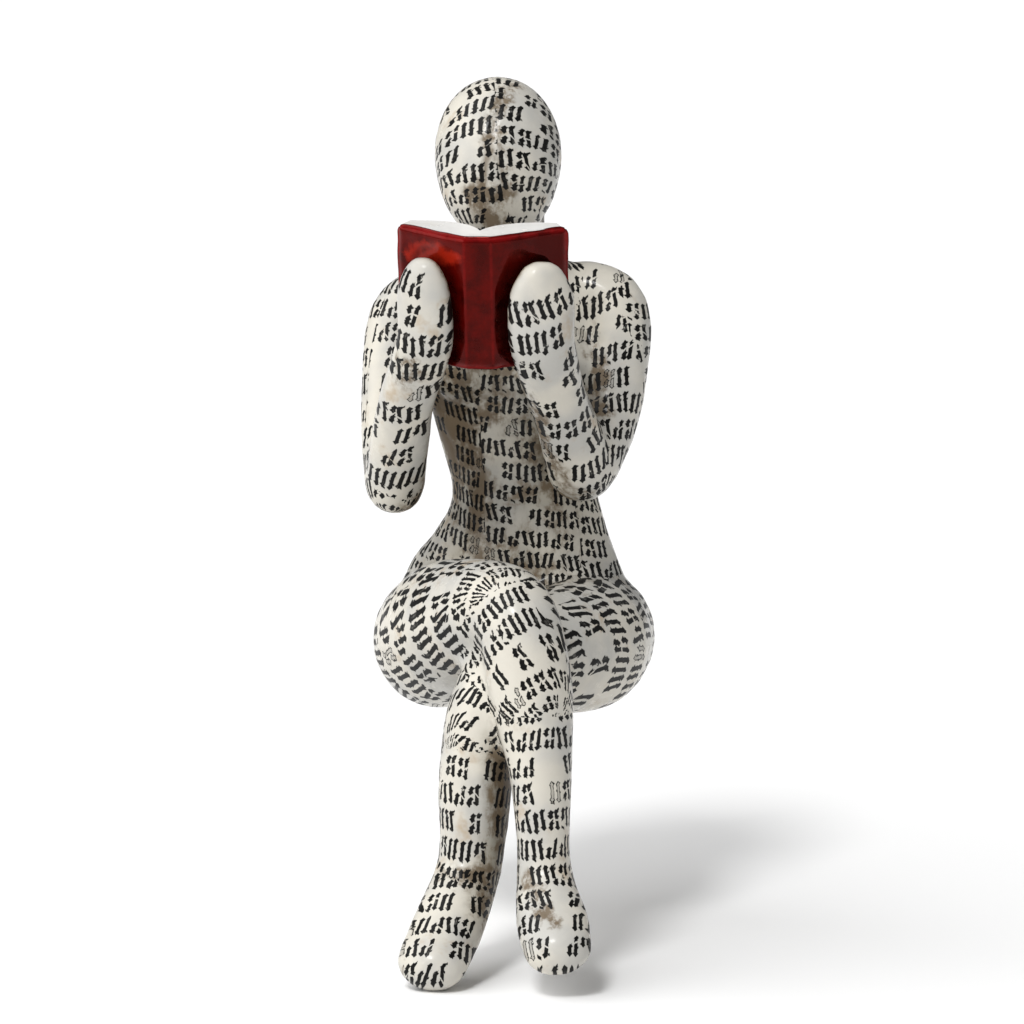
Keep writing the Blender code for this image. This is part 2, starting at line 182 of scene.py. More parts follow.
class BookSettings(bpy.types.PropertyGroup):
    """Sizes and colours of the open book"""

    height: bpy.props.FloatProperty(
        name="Height", description="Height of the covers", default=23.8 * MM,
        min=5 * MM, max=100 * MM, subtype="DISTANCE", unit="LENGTH")
    cover_width: bpy.props.FloatProperty(
        name="Cover width", description="Width of one cover, from the spine to its fore edge",
        default=14.2 * MM, min=3 * MM, max=60 * MM, subtype="DISTANCE", unit="LENGTH")
    spine_width: bpy.props.FloatProperty(
        name="Spine width", description="Width of the flat spine", default=4.6 * MM,
        min=1 * MM, max=20 * MM, subtype="DISTANCE", unit="LENGTH")
    board_thickness: bpy.props.FloatProperty(
        name="Board thickness", description="Thickness of the covers", default=1.0 * MM,
        min=0.3 * MM, max=4 * MM, subtype="DISTANCE", unit="LENGTH")
    opening_angle: bpy.props.FloatProperty(
        name="Opening angle", description="How far each cover is folded back from the spine",
        default=math.radians(27.5), min=0.0, max=math.radians(85), subtype="ANGLE", unit="ROTATION")
    lean: bpy.props.FloatProperty(
        name="Lean", description="How far the book leans back to the reader",
        default=math.radians(14), min=0.0, max=math.radians(60), subtype="ANGLE", unit="ROTATION")
    roll: bpy.props.FloatProperty(
        name="Roll", description="How far the book is turned in the reader's hands",
        default=math.radians(0.5), subtype="ANGLE", unit="ROTATION")
    pages_thickness: bpy.props.FloatProperty(
        name="Pages thickness", description="Thickness of each half of the pages where they swell most",
        default=5.2 * MM, min=1 * MM, max=20 * MM, subtype="DISTANCE", unit="LENGTH")
    fore_edge_thickness: bpy.props.FloatProperty(
        name="Fore edge thickness", description="Thickness of the pages at their fore edge",
        default=1.9 * MM, min=0.3 * MM, max=10 * MM, subtype="DISTANCE", unit="LENGTH")
    gutter_depth: bpy.props.FloatProperty(
        name="Gutter depth", description="Thickness of the pages in the middle of the open book",
        default=2.9 * MM, min=0.3 * MM, max=10 * MM, subtype="DISTANCE", unit="LENGTH")
    red: bpy.props.FloatVectorProperty(
        name="Red", description="Deep red of the glossy covers", default=(0.07, 0.001, 0.0005),
        size=3, min=0, max=1, subtype="COLOR")
    # This dark red is also painted as shade over the left hand
    dark_red: bpy.props.FloatVectorProperty(
        name="Dark red", description="Red where the enamel lies thick", default=(0.01, 0.0006, 0.0004),
        size=3, min=0, max=1, subtype="COLOR")
    white: bpy.props.FloatVectorProperty(
        name="White", description="White of the pages", default=(0.78, 0.77, 0.75),
        size=3, min=0, max=1, subtype="COLOR")


class StageSettings(bpy.types.PropertyGroup):
    """Floor, light and camera"""

    floor_colour: bpy.props.FloatVectorProperty(
        name="Floor colour", description="Colour of the plain pale floor", default=(0.97, 0.97, 0.97),
        size=3, min=0, max=1, subtype="COLOR")
    sky_strength: bpy.props.FloatProperty(
        name="Sky strength", description="Strength of the even white light all round", default=0.26, min=0)
    key_strength: bpy.props.FloatProperty(
        name="Key strength", description="Strength of the soft light at the upper left", default=2.25, min=0)
    key_softness: bpy.props.FloatProperty(
        name="Key softness", description="How wide the light at the upper left is seen from the figure",
        default=math.radians(75), min=0.0, max=math.radians(170), subtype="ANGLE", unit="ROTATION")
    glint_strength: bpy.props.FloatProperty(
        name="Glint strength", description="Strength of the smaller light that glints on the gloss",
        default=1.4, min=0)
    glint_softness: bpy.props.FloatProperty(
        name="Glint softness", description="How wide the smaller light is seen from the figure",
        default=math.radians(13), min=0.0, max=math.radians(170), subtype="ANGLE", unit="ROTATION")
    camera_distance: bpy.props.FloatProperty(
        name="Camera distance", description="From the camera to the figure", default=0.8, min=0.2,
        subtype="DISTANCE", unit="LENGTH")
    camera_azimuth: bpy.props.FloatProperty(
        name="Camera azimuth", description="How far the camera stands to the figure's left",
        default=math.radians(7), subtype="ANGLE", unit="ROTATION")
    camera_elevation: bpy.props.FloatProperty(
        name="Camera elevation", description="How far the camera stands above the figure",
        default=math.radians(8), subtype="ANGLE", unit="ROTATION")
    camera_lens: bpy.props.FloatProperty(
        name="Camera lens", description="Focal length in millimetres", default=163.5, min=20)


# ---------------------------------------------------------------- wiring and meshes

def wire(tree, value, socket):
    """Feeds one input from another node, or sets it to a fixed value."""
    if isinstance(value, bpy.types.NodeSocket):
        tree.links.new(value, socket)
    else:
        socket.default_value = value


def add_node(tree, kind, inputs=None, **settings):
    node = tree.nodes.new(kind)
    for name, value in settings.items():
        setattr(node, name, value)
    for name, value in (inputs or {}).items():
        wire(tree, value, node.inputs[name])
    return node


def reckon(operation, *values):
    """Arithmetic on the values of one node tree: reckon("POWER", a, b)."""
    tree = next(value.id_data for value in values if isinstance(value, bpy.types.NodeSocket))
    node = add_node(tree, "ShaderNodeMath", operation=operation)
    for value, socket in zip(values, node.inputs):
        wire(tree, value, socket)
    return node.outputs[0]


plus, minus, times, times_plus, divided, larger, smaller, is_over, is_under, size_of, sign_of, whole_of = (
    partial(reckon, operation) for operation in (
        "ADD", "SUBTRACT", "MULTIPLY", "MULTIPLY_ADD", "DIVIDE", "MAXIMUM", "MINIMUM", "GREATER_THAN",
        "LESS_THAN", "ABSOLUTE", "SIGN", "FLOOR"))


def ramp(tree, value, low, high, at_low=0.0, at_high=1.0):
    """A soft step from at_low to at_high as the value goes from low to high."""
    node = add_node(tree, "ShaderNodeMapRange", interpolation_type="SMOOTHSTEP")
    for socket, number in zip(node.inputs, (value, low, high, at_low, at_high)):
        wire(tree, number, socket)
    return node.outputs[0]


def noise(tree, vector, scale, detail=2.0, roughness=0.5):
    node = add_node(tree, "ShaderNodeTexNoise", {
        "Vector": vector, "Scale": scale, "Detail": detail, "Roughness": roughness})
    return node.outputs[0]


def vector_of(tree, x, y=0.0, z=0.0):
    return add_node(tree, "ShaderNodeCombineXYZ", {"X": x, "Y": y, "Z": z}).outputs[0]


def dice(tree, x, y, z, throw):
    """Four fixed random numbers for each whole x, y and z."""
    node = add_node(tree, "ShaderNodeTexWhiteNoise", {
        "Vector": vector_of(tree, x, y, z), "W": throw}, noise_dimensions="4D")
    split = add_node(tree, "ShaderNodeSeparateColor", {"Color": node.outputs["Color"]})
    return (node.outputs["Value"], *split.outputs[:3])


def blend_colour(tree, share, first, second, way="MIX"):
    node = add_node(tree, "ShaderNodeMix", data_type="RGBA", blend_type=way)
    wire(tree, share, node.inputs[0])
    for colour, socket in ((first, node.inputs[6]), (second, node.inputs[7])):
        wire(tree, (*colour, 1.0) if isinstance(colour, (tuple, list)) else colour, socket)
    return node.outputs[2]


def attribute(tree, name):
    return add_node(tree, "ShaderNodeAttribute", attribute_name=name).outputs["Fac"]


def new_material(name):
    """A material, its node tree and its shader."""
    material = bpy.data.materials.new(name)
    material.use_nodes = True
    tree = material.node_tree
    return material, tree, tree.nodes["Principled BSDF"]


def dress(shader, bumps, strength, depth, inputs):
    """Sets the shader's own inputs, and roughens it with fine bumps of this depth."""
    tree = shader.id_data
    bump = add_node(tree, "ShaderNodeBump", {"Height": bumps, "Strength": strength, "Distance": depth})
    for name, value in {**inputs, "Normal": bump.outputs[0]}.items():
        wire(tree, value, shader.inputs[name])


def new_object(name, data):
    made = bpy.data.objects.new(name, data)
    bpy.context.scene.collection.objects.link(made)
    return made


def made_plain(piece, name):
    """The piece with its modifiers worked into a plain mesh, under its final name."""
    bpy.context.view_layer.update()
    seen = piece.evaluated_get(bpy.context.evaluated_depsgraph_get())
    mesh = bpy.data.meshes.new_from_object(seen, preserve_all_data_layers=True,
                                           depsgraph=bpy.context.evaluated_depsgraph_get())
    old = piece.data
    bpy.data.objects.remove(piece)
    if old.users == 0:
        bpy.data.meshes.remove(old)
    mesh.name = name
    mesh.polygons.foreach_set("use_smooth", np.ones(len(mesh.polygons), bool))
    return new_object(name, mesh)


def read_out(items, name, kind=np.float64):
    """One value from each item of a mesh."""
    values = np.empty(len(items), kind)
    items.foreach_get(name, values)
    return values


def points_of(mesh):
    points = np.empty(len(mesh.vertices) * 3)
    mesh.vertices.foreach_get("co", points)
    return points.reshape(-1, 3)


def normals_of(mesh):
    normals = np.empty(len(mesh.vertices) * 3)
    mesh.vertex_normals.foreach_get("vector", normals)
    return normals.reshape(-1, 3)


def peak(distance, middle, width):
    """1 at the middle distance, and soon less on either side of it."""
    return np.exp(-((distance - middle) / width) ** 2)


def store(mesh, name, values):
    layer = mesh.attributes.new(name, "FLOAT", "POINT")
    layer.data.foreach_set("value", np.asarray(values, np.float32))


def spread_out(mesh, values, passes):
    """The values averaged with their neighbours along the edges."""
    edges = np.empty(len(mesh.edges) * 2, np.int32)
    mesh.edges.foreach_get("vertices", edges)
    beside = edges.reshape(-1, 2)[:, ::-1].ravel()
    count = np.maximum(np.bincount(edges, minlength=len(values)), 1)
    for _ in range(passes):
        values = 0.5 * values + 0.5 * np.bincount(edges, values[beside], len(values)) / count
    return values


def tree_of(meshes):
    corners, faces = [], []
    for mesh in meshes:
        start = len(corners)
        corners += [tuple(v.co) for v in mesh.vertices]
        faces += [[start + v for v in face.vertices] for face in mesh.polygons]
    return BVHTree.FromPolygons(corners, faces)


def distance_to(shape, mesh, reach=10 * MM):
    """How far each point of the mesh is from the shape, up to the reach."""
    find = tree_of([shape]).find_nearest
    return np.array([find(point.co, reach)[3] or reach for point in mesh.vertices])


def merged_copy(node_name):
    """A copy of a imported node's mesh with its loose triangles joined."""
    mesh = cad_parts[node_name].data.copy()
    mesh.materials.clear()
    joined = bmesh.new()
    joined.from_mesh(mesh)
    bmesh.ops.remove_doubles(joined, verts=joined.verts, dist=0.002 * MM)
    joined.to_mesh(mesh)
    joined.free()
    return mesh


def remeshed(mesh, grid, smoothing, name):
    """The mesh with even small faces, smoothed."""
    piece = new_object(name, mesh)
    even = piece.modifiers.new("even_faces", "REMESH")
    even.mode = "VOXEL"
    even.voxel_size = grid
    soft = piece.modifiers.new("smoothing", "SMOOTH")
    soft.factor = 0.5
    soft.iterations = smoothing
    return made_plain(piece, name)


def give_nodes(piece, tree, settings):
    """Puts the node tree on the piece, with its named inputs set before the piece is first evaluated."""
    modifier = piece.modifiers.new(tree.name, "NODES")
    modifier.node_group = tree
    inputs = {item.name: item.identifier for item in tree.interface.items_tree if item.in_out == "INPUT"}
    for name, value in settings.items():
        modifier[inputs[name]] = value


def new_shape_tree(name, numbers):
    """A geometry node tree with named inputs, among them a seed and a finish, and its first and last nodes."""
    tree = bpy.data.node_groups.new(name, "GeometryNodeTree")
    tree.interface.new_socket("Geometry", in_out="INPUT", socket_type="NodeSocketGeometry")
    for label in numbers:
        tree.interface.new_socket(label, in_out="INPUT", socket_type="NodeSocketFloat")
    tree.interface.new_socket("Seed", in_out="INPUT", socket_type="NodeSocketInt")
    tree.interface.new_socket("Finish", in_out="INPUT", socket_type="NodeSocketMaterial")
    tree.interface.new_socket("Geometry", in_out="OUTPUT", socket_type="NodeSocketGeometry")
    return tree, tree.nodes.new("NodeGroupInput"), tree.nodes.new("NodeGroupOutput")


def close_shape_tree(tree, shape, finish, out):
    """Ends a geometry node tree in plain, finished geometry."""
    real = add_node(tree, "GeometryNodeRealizeInstances", {"Geometry": shape})
    dressed = add_node(tree, "GeometryNodeSetMaterial", {"Geometry": real.outputs[0], "Material": finish})
    tree.links.new(dressed.outputs[0], out.inputs[0])


def stored(tree, name):
    """A value stored on the mesh, in a geometry node tree."""
    return add_node(tree, "GeometryNodeInputNamedAttribute", {"Name": name}, data_type="FLOAT").outputs[0]


def shape_noise(tree, place, seed, scale):
    """Soft noise around 0 in a geometry node tree, from -0.5 to 0.5."""
    node = add_node(tree, "ShaderNodeTexNoise", {
        "Vector": place, "W": seed, "Scale": scale, "Detail": 1.0}, noise_dimensions="4D")
    return minus(node.outputs[0], 0.5)


def push_out(tree, shape, move):
    """The shape with each point moved outwards."""
    offset = add_node(tree, "ShaderNodeVectorMath", operation="SCALE")
    wire(tree, add_node(tree, "GeometryNodeInputNormal").outputs[0], offset.inputs[0])
    wire(tree, move, offset.inputs["Scale"])
    moved = add_node(tree, "GeometryNodeSetPosition", {"Geometry": shape, "Offset": offset.outputs[0]})
    return moved.outputs[0]


# ---------------------------------------------------------------- the figure

def hidden_share(mesh, occluders, reach=30 * MM, rays=20, fade=0.7, lift=0.35 * MM):
    """How much of each point's sky is shut off by nearby skin or book, from 0 to 1.

    The rays start at the lift above the skin, and what they hit at their reach counts less by the fade.
    """
    points, normals = points_of(mesh), normals_of(mesh)
    turn = np.arange(rays) * math.pi * (3 - math.sqrt(5))
    height = np.sqrt((np.arange(rays) + 0.5) / rays)
    flat = np.sqrt(1 - height**2)
    side = np.cross(normals, np.where(np.abs(normals[:, :1]) < 0.8, [[1.0, 0, 0]], [[0, 1.0, 0]]))
    side /= np.linalg.norm(side, axis=1, keepdims=True)
    other = np.cross(normals, side)
    starts = points + normals * lift
    blocked = np.zeros(len(points))
    cast = occluders.ray_cast
    begin = [Vector(start) for start in starts]
    for ray in range(rays):
        ways = (normals * height[ray] + side * flat[ray] * math.cos(turn[ray])
                + other * flat[ray] * math.sin(turn[ray]))
        far = [cast(start, way, reach)[3] for start, way in zip(begin, ways.tolist())]
        blocked += [0.0 if gap is None else 1 - fade * gap / reach for gap in far]
    return spread_out(mesh, blocked / rays, 5)


def crease_distance(points):
    """How far each point is from the nearest crease."""
    nearest = np.full(len(points), 1.0)
    for line in CREASES:
        line = np.array(line) * MM
        for start, end in zip(line, line[1:]):
            along = end - start
            share = np.clip((points - start) @ along / (along @ along), 0, 1)
            gap = np.linalg.norm(points - start - share[:, None] * along, axis=1)
            nearest = np.minimum(nearest, gap)
    return nearest


def place_on_limb(points, name, guide):
    """Each point's place on one limb.

    Returns its turn from the front, its distance from the guide line and its height from the line's middle,
    then how near it is to the limb, and the height at which the print ends.
    """
    low, high, radius = np.array(guide[0]) * MM, np.array(guide[1]) * MM, guide[2] * MM
    length = np.linalg.norm(high - low)
    along = (high - low) / length
    away = points - low
    front = FORWARD - along * (FORWARD @ along)
    front /= np.linalg.norm(front)
    depth, across = away @ front, away @ np.cross(front, along)
    gap = np.hypot(depth, across)
    if name == "head":
        # The rows follow the egg's skin up to the crown
        half = length / 2
        above = (points - (low + high) / 2) @ along
        closeness = np.hypot(gap / radius, above / half) * 0.97
        height = half * np.arctan2(above, np.sqrt(depth**2 + 0.45 * across**2) * half / radius)
        end = OVER_END * half
    else:
        up = away @ along
        past = np.maximum(np.maximum(-up, up - length), 0)
        closeness = np.hypot(gap, past) / radius
        over_end = np.hypot(gap, past) * np.arctan2(past, gap)
        height = np.clip(up, 0, length) + np.where(up < 0, -over_end, over_end) - length / 2
        # The print stops short of the limb's rounded end, so that no marks run together there
        end = length / 2 + (FINGERTIP_END if name.endswith("forearm") else OVER_END * radius)
    return np.arctan2(across, depth), gap, height, closeness, end


def lay_print_map(mesh):
    """Lays the rows of print round each limb: the map counts marks across and rows up.

    Returns the map's height of the last printed row, for each point.
    """
    points = points_of(mesh)
    best = np.full(len(points), np.inf)
    limb_at = np.zeros(len(points), int)
    last_row = np.zeros(len(points))
    turns, gaps, heights, shifts, rises = [], [], [], [], []
    for number, (name, guide) in enumerate(PRINT_GUIDES.items()):
        row_gap, mark, shift, rise = guide[3:]
        turn, gap, height, closeness, end = place_on_limb(points, name, guide)
        middle_row = ROWS_PER_LIMB * (number + 0.5)
        nearer = closeness < best
        best[nearer] = closeness[nearer]
        limb_at[nearer] = number
        last_row[nearer] = end / (row_gap * MM) + middle_row
        turns.append(turn)
        gaps.append(gap / (mark * MM))
        heights.append(height / (row_gap * MM) + middle_row)
        shifts.append(shift)
        rises.append(rise * mark / row_gap)
    turns, gaps, heights, shifts, rises = map(np.array, (turns, gaps, heights, shifts, rises))
    radii = np.ones(len(turns))
    for number, (turn, gap) in enumerate(zip(turns, gaps)):
        behind = (limb_at == number) & (np.abs(turn) > BACK_TURN)
        if behind.any():
            radii[number] = np.median(gap[behind])

    # Each face lies on one limb's part of the map, and on one side of its seam
    corners = read_out(mesh.loops, "vertex_index", np.int32)
    first_corners = corners[read_out(mesh.polygons, "loop_start", np.int32)]
    limb_of_face = limb_at[first_corners]
    face_of = np.repeat(np.arange(len(mesh.polygons)), read_out(mesh.polygons, "loop_total", np.int32))
    limb = limb_of_face[face_of]
    first = turns[limb_of_face, first_corners][face_of]
    turn = first + (turns[limb, corners] - first + math.pi) % (2 * math.pi) - math.pi
    in_front = np.clip(turn, -FRONT_TURN, FRONT_TURN)
    across = in_front * gaps[limb, corners] + (turn - in_front) * radii[limb]
    place = np.column_stack((across + shifts[limb], heights[limb, corners] - rises[limb] * across))
    layer = mesh.uv_layers.new(name="print")
    layer.data.foreach_set("uv", place.ravel().astype(np.float32))
    return last_row


def folded_paper_tree():
    """Moves the skin in and out: soft folds, small dimples and the creases between strips of paper."""
    numbers = ("Regrow", "Fold size", "Fold depth", "Dimple size", "Dimple depth", "Crease depth")
    tree, given, out = new_shape_tree("folded_paper", numbers)
    wanted = given.outputs
    place = add_node(tree, "GeometryNodeInputPosition").outputs[0]
    move = wanted["Regrow"]
    for kind, stretch in (("Fold", 1.0), ("Dimple", 2.0)):
        ripple = shape_noise(tree, place, times(wanted["Seed"], stretch), divided(1.0, wanted[kind + " size"]))
        move = times_plus(ripple, wanted[kind + " depth"], move)
    move = minus(move, times(stored(tree, "crease"), wanted["Crease depth"]))
    moved = push_out(tree, wanted["Geometry"], times(move, stored(tree, "free")))
    close_shape_tree(tree, moved, wanted["Finish"], out)
    return tree


def stem(x, level, centre, slant, half_height, half_width, wedge):
    """How far a place is from a thick stroke, upright or slanting, with a flat wedge on each end."""
    sideways = minus(minus(x, centre), times(level, slant))
    upright = larger(minus(size_of(sideways), half_width), minus(size_of(level), half_height))
    aside = plus(sideways, times(sign_of(level), 0.08))
    to_end = minus(times_plus(sideways, 0.12, size_of(level)), half_height)
    end = plus(times(size_of(aside), 0.6), size_of(to_end))
    return smaller(upright, minus(end, wedge))


def tick(x, y, rise, slope, thickness, half_length, middle):
    """How far a place is from a short slanting line."""
    aside = minus(x, middle)
    level = minus(y, times_plus(aside, slope, rise))
    return larger(minus(size_of(level), thickness), minus(size_of(aside), half_length))


def only_if(chance, limit, distance):
    """Far away, so that nothing is drawn, unless the chance is above the limit."""
    return times_plus(is_under(chance, limit), 9.0, distance)


def pen_mark(x, y, lean, short, bow, spur, bar, dot):
    """How far a place is from the strokes of its mark, which join into no letter.

    The place runs from -1 to 1 each way, and the other six are the mark's own random numbers.
    """
    # The first stroke is tall, and often broken by a slanting notch
    first_x = times_plus(lean, 0.14, -0.62)
    slant = times_plus(bow, 0.7, -0.3)
    first = stem(x, minus(y, times_plus(short, 0.24, -0.12)), first_x, slant, 0.76, 0.29, 0.29)
    slope = times_plus(dot, 1.3, -0.5)
    notch_y = times_plus(x, slope, times_plus(short, 0.9, -0.3))
    notch = minus(0.08, size_of(minus(y, notch_y)))
    first = larger(first, minus(notch, times(is_over(spur, 0.5), 9.0)))

    # The second stroke is tall and slanting, two short ones, or one short one
    pair = is_under(bar, 0.3)
    single = times(is_over(bar, 0.3), is_under(bar, 0.58))
    tall = minus(minus(1.0, pair), single)
    middle = times(single, times_plus(is_over(short, 0.5), 0.8, -0.4))
    middle = plus(middle, times(tall, times_plus(short, -0.24, 0.12)))
    level = minus(size_of(minus(y, middle)), times(pair, 0.54))
    level = times(level, sign_of(minus(y, middle)))
    half_height = plus(times_plus(single, 0.14, 0.18), times(tall, 0.52))
    second = stem(x, level, times_plus(spur, 0.16, 0.44), times(slant, times_plus(tall, 0.8, 0.2)),
                  half_height, 0.3, 0.3)

    # Slanting ticks cross the strokes without joining them
    distance = smaller(first, second)
    for chance, limit, rise, tilt, thickness, half_length, place in (
            (spur, 0.25, times_plus(bow, 1.2, -0.6), slope, 0.1, 0.42, first_x),
            (bow, 0.55, 0.9, -0.3, 0.12, 0.34, -0.66),
            (dot, 0.45, -0.88, 0.35, 0.13, 0.32, 0.62),
            (lean, 0.4, times_plus(spur, 0.8, -0.4), -0.6, 0.1, 0.36, 0.5)):
        line = tick(x, y, rise, tilt, thickness, half_length, place)
        distance = smaller(distance, only_if(chance, limit, line))
    return distance


def print_strokes(tree):
    """Rows of short broken pen strokes that spell nothing.

    Returns how much ink there is, how near the edge of a strip of paper is, and how worn the print is, each
    from 0 to 1.
    """
    spot = add_node(tree, "ShaderNodeUVMap", uv_map="print").outputs[0]
    across, up, _ = add_node(tree, "ShaderNodeSeparateXYZ", {"Vector": spot}).outputs
    limb = whole_of(divided(up, float(ROWS_PER_LIMB)))
    sway = minus(noise(tree, spot, 0.11, 2.0), 0.5)

    # Strips of paper, each with its own height and tilt
    in_strips = plus(divided(across, STRIP_WIDTH), times_plus(sway, 0.7, 0.5))
    strip = whole_of(in_strips)
    in_strip = minus(minus(in_strips, strip), 0.5)
    lift, tilt = dice(tree, strip, limb, 0.0, 1.0)[:2]
    strip_slope = times_plus(tilt, 1.1, -0.35)
    height = plus(up, times(minus(lift, 0.5), 0.9))
    height = times_plus(in_strip, strip_slope, height)
    height = times_plus(sway, 0.8, height)
    row = whole_of(height)
    shifted = plus(across, times(dice(tree, row, strip, limb, 2.0)[0], 6.0))
    cell = whole_of(shifted)
    in_cell = minus(shifted, cell)
    gap, lean, short, bow = dice(tree, cell, row, strip, 3.0)
    spur, bar, dot, hollow = dice(tree, cell, row, strip, 4.0)

    # The place inside one mark, from -1 to 1 each way, with a ragged edge
    x = times(minus(in_cell, 0.47), 2.34)
    y = times(minus(minus(height, row), 0.5), 2.6)
    for scale, reach in ((1.5, 0.26), (6.5, 0.22)):
        ragged = add_node(tree, "ShaderNodeTexNoise", {"Vector": spot, "Scale": scale, "Detail": 1.0})
        wander = add_node(tree, "ShaderNodeSeparateColor", {"Color": ragged.outputs["Color"]})
        x = times_plus(minus(wander.outputs[0], 0.5), reach, x)
        y = times_plus(minus(wander.outputs[1], 0.5), reach, y)
    distance = pen_mark(x, y, lean, short, bow, spur, bar, dot)

    # Worn print: some marks are left out, some are only an outline, and some are broken
    wear = noise(tree, spot, 1.7, 3.0, 0.7)
    distance = plus(distance, ramp(tree, wear, 0.62, 0.76, 0.0, 0.5))
    inside = times(is_over(hollow, 1 - OUTLINED), ramp(tree, distance, -0.14, -0.09, 1.0, 0.0))
    ink = ramp(tree, distance, -0.04, 0.05, 1.0, 0.0)
    ink = times(ink, minus(1.0, times(inside, 0.7)))
    ink = times(ink, is_over(gap, LEFT_OUT))

    # A mark whose top would pass the last row is left out whole
    mark_top = plus(plus(row, 0.8), minus(up, height))
    mark_top = times_plus(times(minus(in_cell, 0.5), 1 / STRIP_WIDTH), strip_slope, mark_top)
    ink = times(ink, is_over(attribute(tree, "last_row"), mark_top))
    edge = ramp(tree, minus(0.5, size_of(in_strip)), 0.0, 0.028, 1.0, 0.0)
    return ink, edge, wear


def tinted(colour, *shares):
    """The colour with its red, green and blue each multiplied by a share."""
    return tuple(part * share for part, share in zip(colour, shares))


def printed_resin_material(look):
    """Ivory resin covered with a paper print, with a brown wash and painted shade in its hollows, under a satin
    varnish.
    """
    material, tree, shader = new_material("printed_resin_skin")
    ink, edge, wear = print_strokes(tree)
    place = add_node(tree, "ShaderNodeTexCoord").outputs["Object"]
    shade, crease, smudge, bare = (attribute(tree, name) for name in ("shade", "crease", "smudge", "bare"))

    cool = tinted(look.paper_colour, 0.86, 0.87, 0.88)
    warm = tinted(look.paper_colour, 1.08, 1.06, 1.01)
    broad = noise(tree, place, 75.0, 3.0, 0.6)
    mottle = noise(tree, place, 420.0, 4.0, 0.65)
    colour = blend_colour(tree, ramp(tree, broad, 0.36, 0.62), cool, warm)
    stain = times(ramp(tree, noise(tree, place, 130.0, 4.0, 0.7), 0.56, 0.74), 0.6)
    colour = blend_colour(tree, stain, colour, tuple(look.stain_colour))

    # Brown wash, hatched where the brush has dragged it, mixed with painted shade where the sky is shut off
    drag = add_node(tree, "ShaderNodeMapping", {
        "Vector": place, "Scale": (1.0, 1.0, 0.3), "Rotation": (0.5, 0.6, 0.2)})
    hatch = noise(tree, drag.outputs[0], 1100.0, 2.0, 0.6)
    blot = noise(tree, place, 260.0, 5.0, 0.66)
    uneven = plus(times_plus(blot, 2.8, -1.4), times_plus(hatch, 0.8, -0.4))
    soak_and_shade = plus(plus(shade, times(smudge, 0.34)), uneven)
    within = ramp(tree, larger(shade, times(smudge, 0.5)), 0.08, 0.34)
    wash_and_shade = times(ramp(tree, soak_and_shade, 0.1, 0.68, 0.0, 0.94), within)
    settled = times(crease, ramp(tree, mottle, 0.34, 0.58, 0.15, 0.95))
    torn = times(edge, ramp(tree, mottle, 0.5, 0.66, 0.0, 0.55))
    wash_and_shade = larger(wash_and_shade, larger(settled, torn))
    # Painted shade: the whole colour darker and browner where nearby skin or book shuts off the sky
    painted_shade = ramp(tree, shade, 0.04, 0.6, 1.0, 0.5)
    painted_shade_tint = vector_of(tree, painted_shade, reckon("POWER", painted_shade, 1.07), reckon("POWER", painted_shade, 1.25))
    colour = blend_colour(tree, 1.0, colour, painted_shade_tint, "MULTIPLY")
    colour = blend_colour(tree, wash_and_shade, colour, tuple(look.wash_and_shade_colour))

    inked = times(ink, minus(1.0, bare))
    inked = times(inked, ramp(tree, wear, 0.55, 0.72, 1.0, 0.8))
    colour = blend_colour(tree, inked, colour, tuple(look.ink_colour))
    rough = plus(times_plus(mottle, 0.2, 0.16), times(larger(wash_and_shade, inked), 0.3))
    grain = plus(times(mottle, 0.6), times(edge, 0.7))
    grain = plus(grain, times(noise(tree, place, 1500.0, 2.0), 0.25))
    dress(shader, grain, 0.35, 0.08 * MM, {
        "Base Color": colour, "Roughness": rough, "Specular IOR Level": 0.12, "Coat Weight": 0.14,
        "Coat Roughness": 0.1})
    return material


class READINGWOMAN_OT_figure(bpy.types.Operator):
    """Makes the seated figure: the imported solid's skin with paper folds, creases and its worn print"""

    bl_idname = "reading_woman.figure"
    bl_label = "Figure"

    def execute(self, context):
        look = context.scene.reading_woman_figure
        skin = remeshed(merged_copy("figure"), look.skin_grid, look.skin_smoothing, "figure_skin")
        mesh = skin.data
        if len(mesh.polygons) < 1000:
            raise RuntimeError("the figure's skin is empty")
        points = points_of(mesh)
        behind, height = points[:, 1] / MM, points[:, 2] / MM
        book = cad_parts["book"].data
        # The skin keeps its form at the flat seat and beside the book, and gets its folds further off
        seat = (height > -0.6) & (height < 0.35) & (np.abs(normals_of(mesh)[:, 2]) > 0.9)
        free = np.clip((distance_to(book, mesh) - 0.6 * MM) / (1.4 * MM), 0, 1)
        free[seat] = 0.0
        store(mesh, "free", spread_out(mesh, free, 3))
        to_crease = crease_distance(points)
        store(mesh, "crease", peak(to_crease, 0, look.crease_width))
        store(mesh, "smudge", peak(to_crease, 0, look.smudge_width))
        store(mesh, "shade", hidden_share(mesh, tree_of([mesh, book])))
        # No print is left on the seat and behind the hips
        worn_behind = np.clip(behind - 8, 0, 3) / 3 * np.clip(18 - height, 0, 4) / 4
        store(mesh, "bare", np.maximum(spread_out(mesh, seat.astype(float), 2), worn_behind))
        store(mesh, "last_row", lay_print_map(mesh))
        give_nodes(skin, folded_paper_tree(), {
            "Regrow": look.skin_regrow, "Fold size": look.fold_size, "Fold depth": look.fold_depth,
            "Dimple size": look.dimple_size, "Dimple depth": look.dimple_depth,
            "Crease depth": look.crease_depth, "Seed": look.seed, "Finish": printed_resin_material(look)})
        figure = made_plain(skin, "reading_figure")
        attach(figure, "root")
        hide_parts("figure")
        return {"FINISHED"}


# ---------------------------------------------------------------- the book


